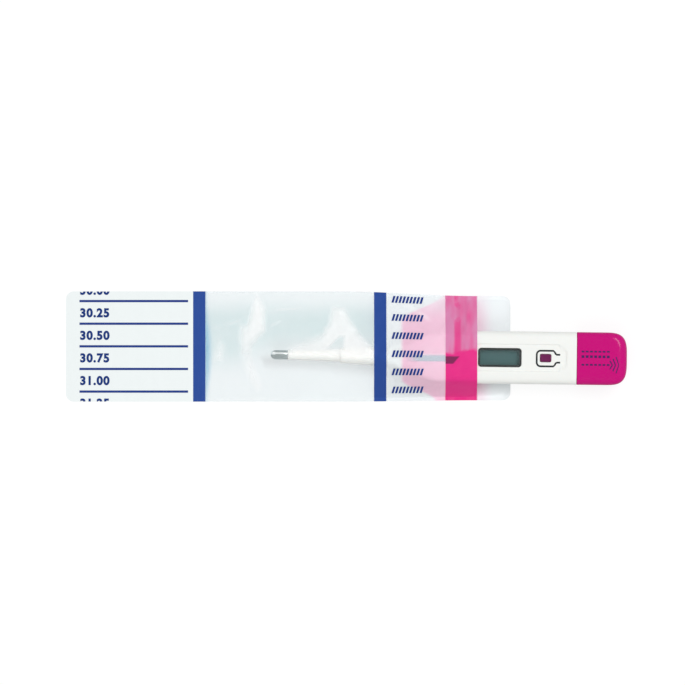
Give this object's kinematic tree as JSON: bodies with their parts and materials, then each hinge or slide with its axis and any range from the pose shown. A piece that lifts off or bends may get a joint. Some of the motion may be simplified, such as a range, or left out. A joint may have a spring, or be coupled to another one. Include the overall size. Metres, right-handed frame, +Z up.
{
  "type": "digital thermometer in disposable sheath",
  "caption": "Pen-shaped digital clinical thermometer with display, button, metal sensor tip and pull-off battery cap, lying in a flat disposable film sheath.",
  "frame": {"origin": "under the middle of the bounding box, on the surface that the sheath lies on", "axes": "+X along the thermometer from the sensor tip to the battery cap, +Y across it, +Z up out of the display"},
  "size_m": [0.2004, 0.0406, 0.0114],
  "materials": {
    "white_plastic": "smooth moulded, slightly glossy",
    "clear_plastic": "clear polished lens",
    "black_adhesive": "printed black frame",
    "grey_rubber": "soft seal",
    "tip_metal": "drawn and polished",
    "glass_bead": "small glass bead",
    "potting": "cast resin",
    "lead_copper": "enamelled wire",
    "purple_plastic": "satin moulded key",
    "carrier_plastic": "moulded carrier",
    "board_green": "glass fibre laminate",
    "chip_resin": "resin blob",
    "chip_ceramic": "ceramic chips",
    "switch_plastic": "moulded",
    "display_glass": "unlit liquid crystal glass",
    "reflector_foil": "satin foil",
    "zebra_rubber": "striped conductive rubber",
    "piezo_brass": "brass disc",
    "contact_metal": "plated spring strip",
    "cell_steel": "plated can",
    "magenta_plastic": "glossy moulded",
    "clear_film": "clear wrinkled film with printed bands",
    "white_film": "thin milky film"
  },
  "bodies": {
    "housing": {"housing": "white_plastic", "window_lens": "clear_plastic", "lens_gasket": "black_adhesive", "button_seal": "grey_rubber", "sensor_tip": "tip_metal", "thermistor": "glass_bead", "tip_potting": "potting", "lead_wires": "lead_copper"},
    "power_button": {"power_button": "purple_plastic"},
    "carriage": {"carriage": "carrier_plastic", "circuit_board": "board_green", "controller_chip": "chip_resin", "passive_components": "chip_ceramic", "button_switch": "switch_plastic", "lcd_glass": "display_glass", "lcd_reflector": "reflector_foil", "lcd_frame": "carrier_plastic", "zebra_strips": "zebra_rubber", "buzzer_disc": "piezo_brass", "buzzer_contacts": "contact_metal", "battery": "cell_steel", "battery_contact_positive": "contact_metal", "battery_contact_negative": "contact_metal"},
    "battery_cap": {"battery_cap": "magenta_plastic", "cap_seal_ring": "grey_rubber"},
    "sheath": {"sheath_front_film": "clear_film", "sheath_back_film": "white_film"}
  },
  "joints": [
    {"name": "button_press", "type": "slide", "parent": "housing", "child": "power_button", "axis": [0, 0, -1], "range_m": [0, 0.0005], "stiffness_N_per_m": 2000},
    {"name": "carriage_draw", "type": "slide", "parent": "housing", "child": "carriage", "axis": [1, 0, 0], "range_m": [0, 0.01], "deforming": ["lead_wires"]},
    {"name": "cap_pull", "type": "slide", "parent": "carriage", "child": "battery_cap", "axis": [1, 0, 0], "range_m": [0, 0.018]},
    {"name": "sheath_pull", "type": "slide", "parent": "housing", "child": "sheath", "axis": [-1, 0, 0], "range_m": [0, 0.088]}
  ]
}
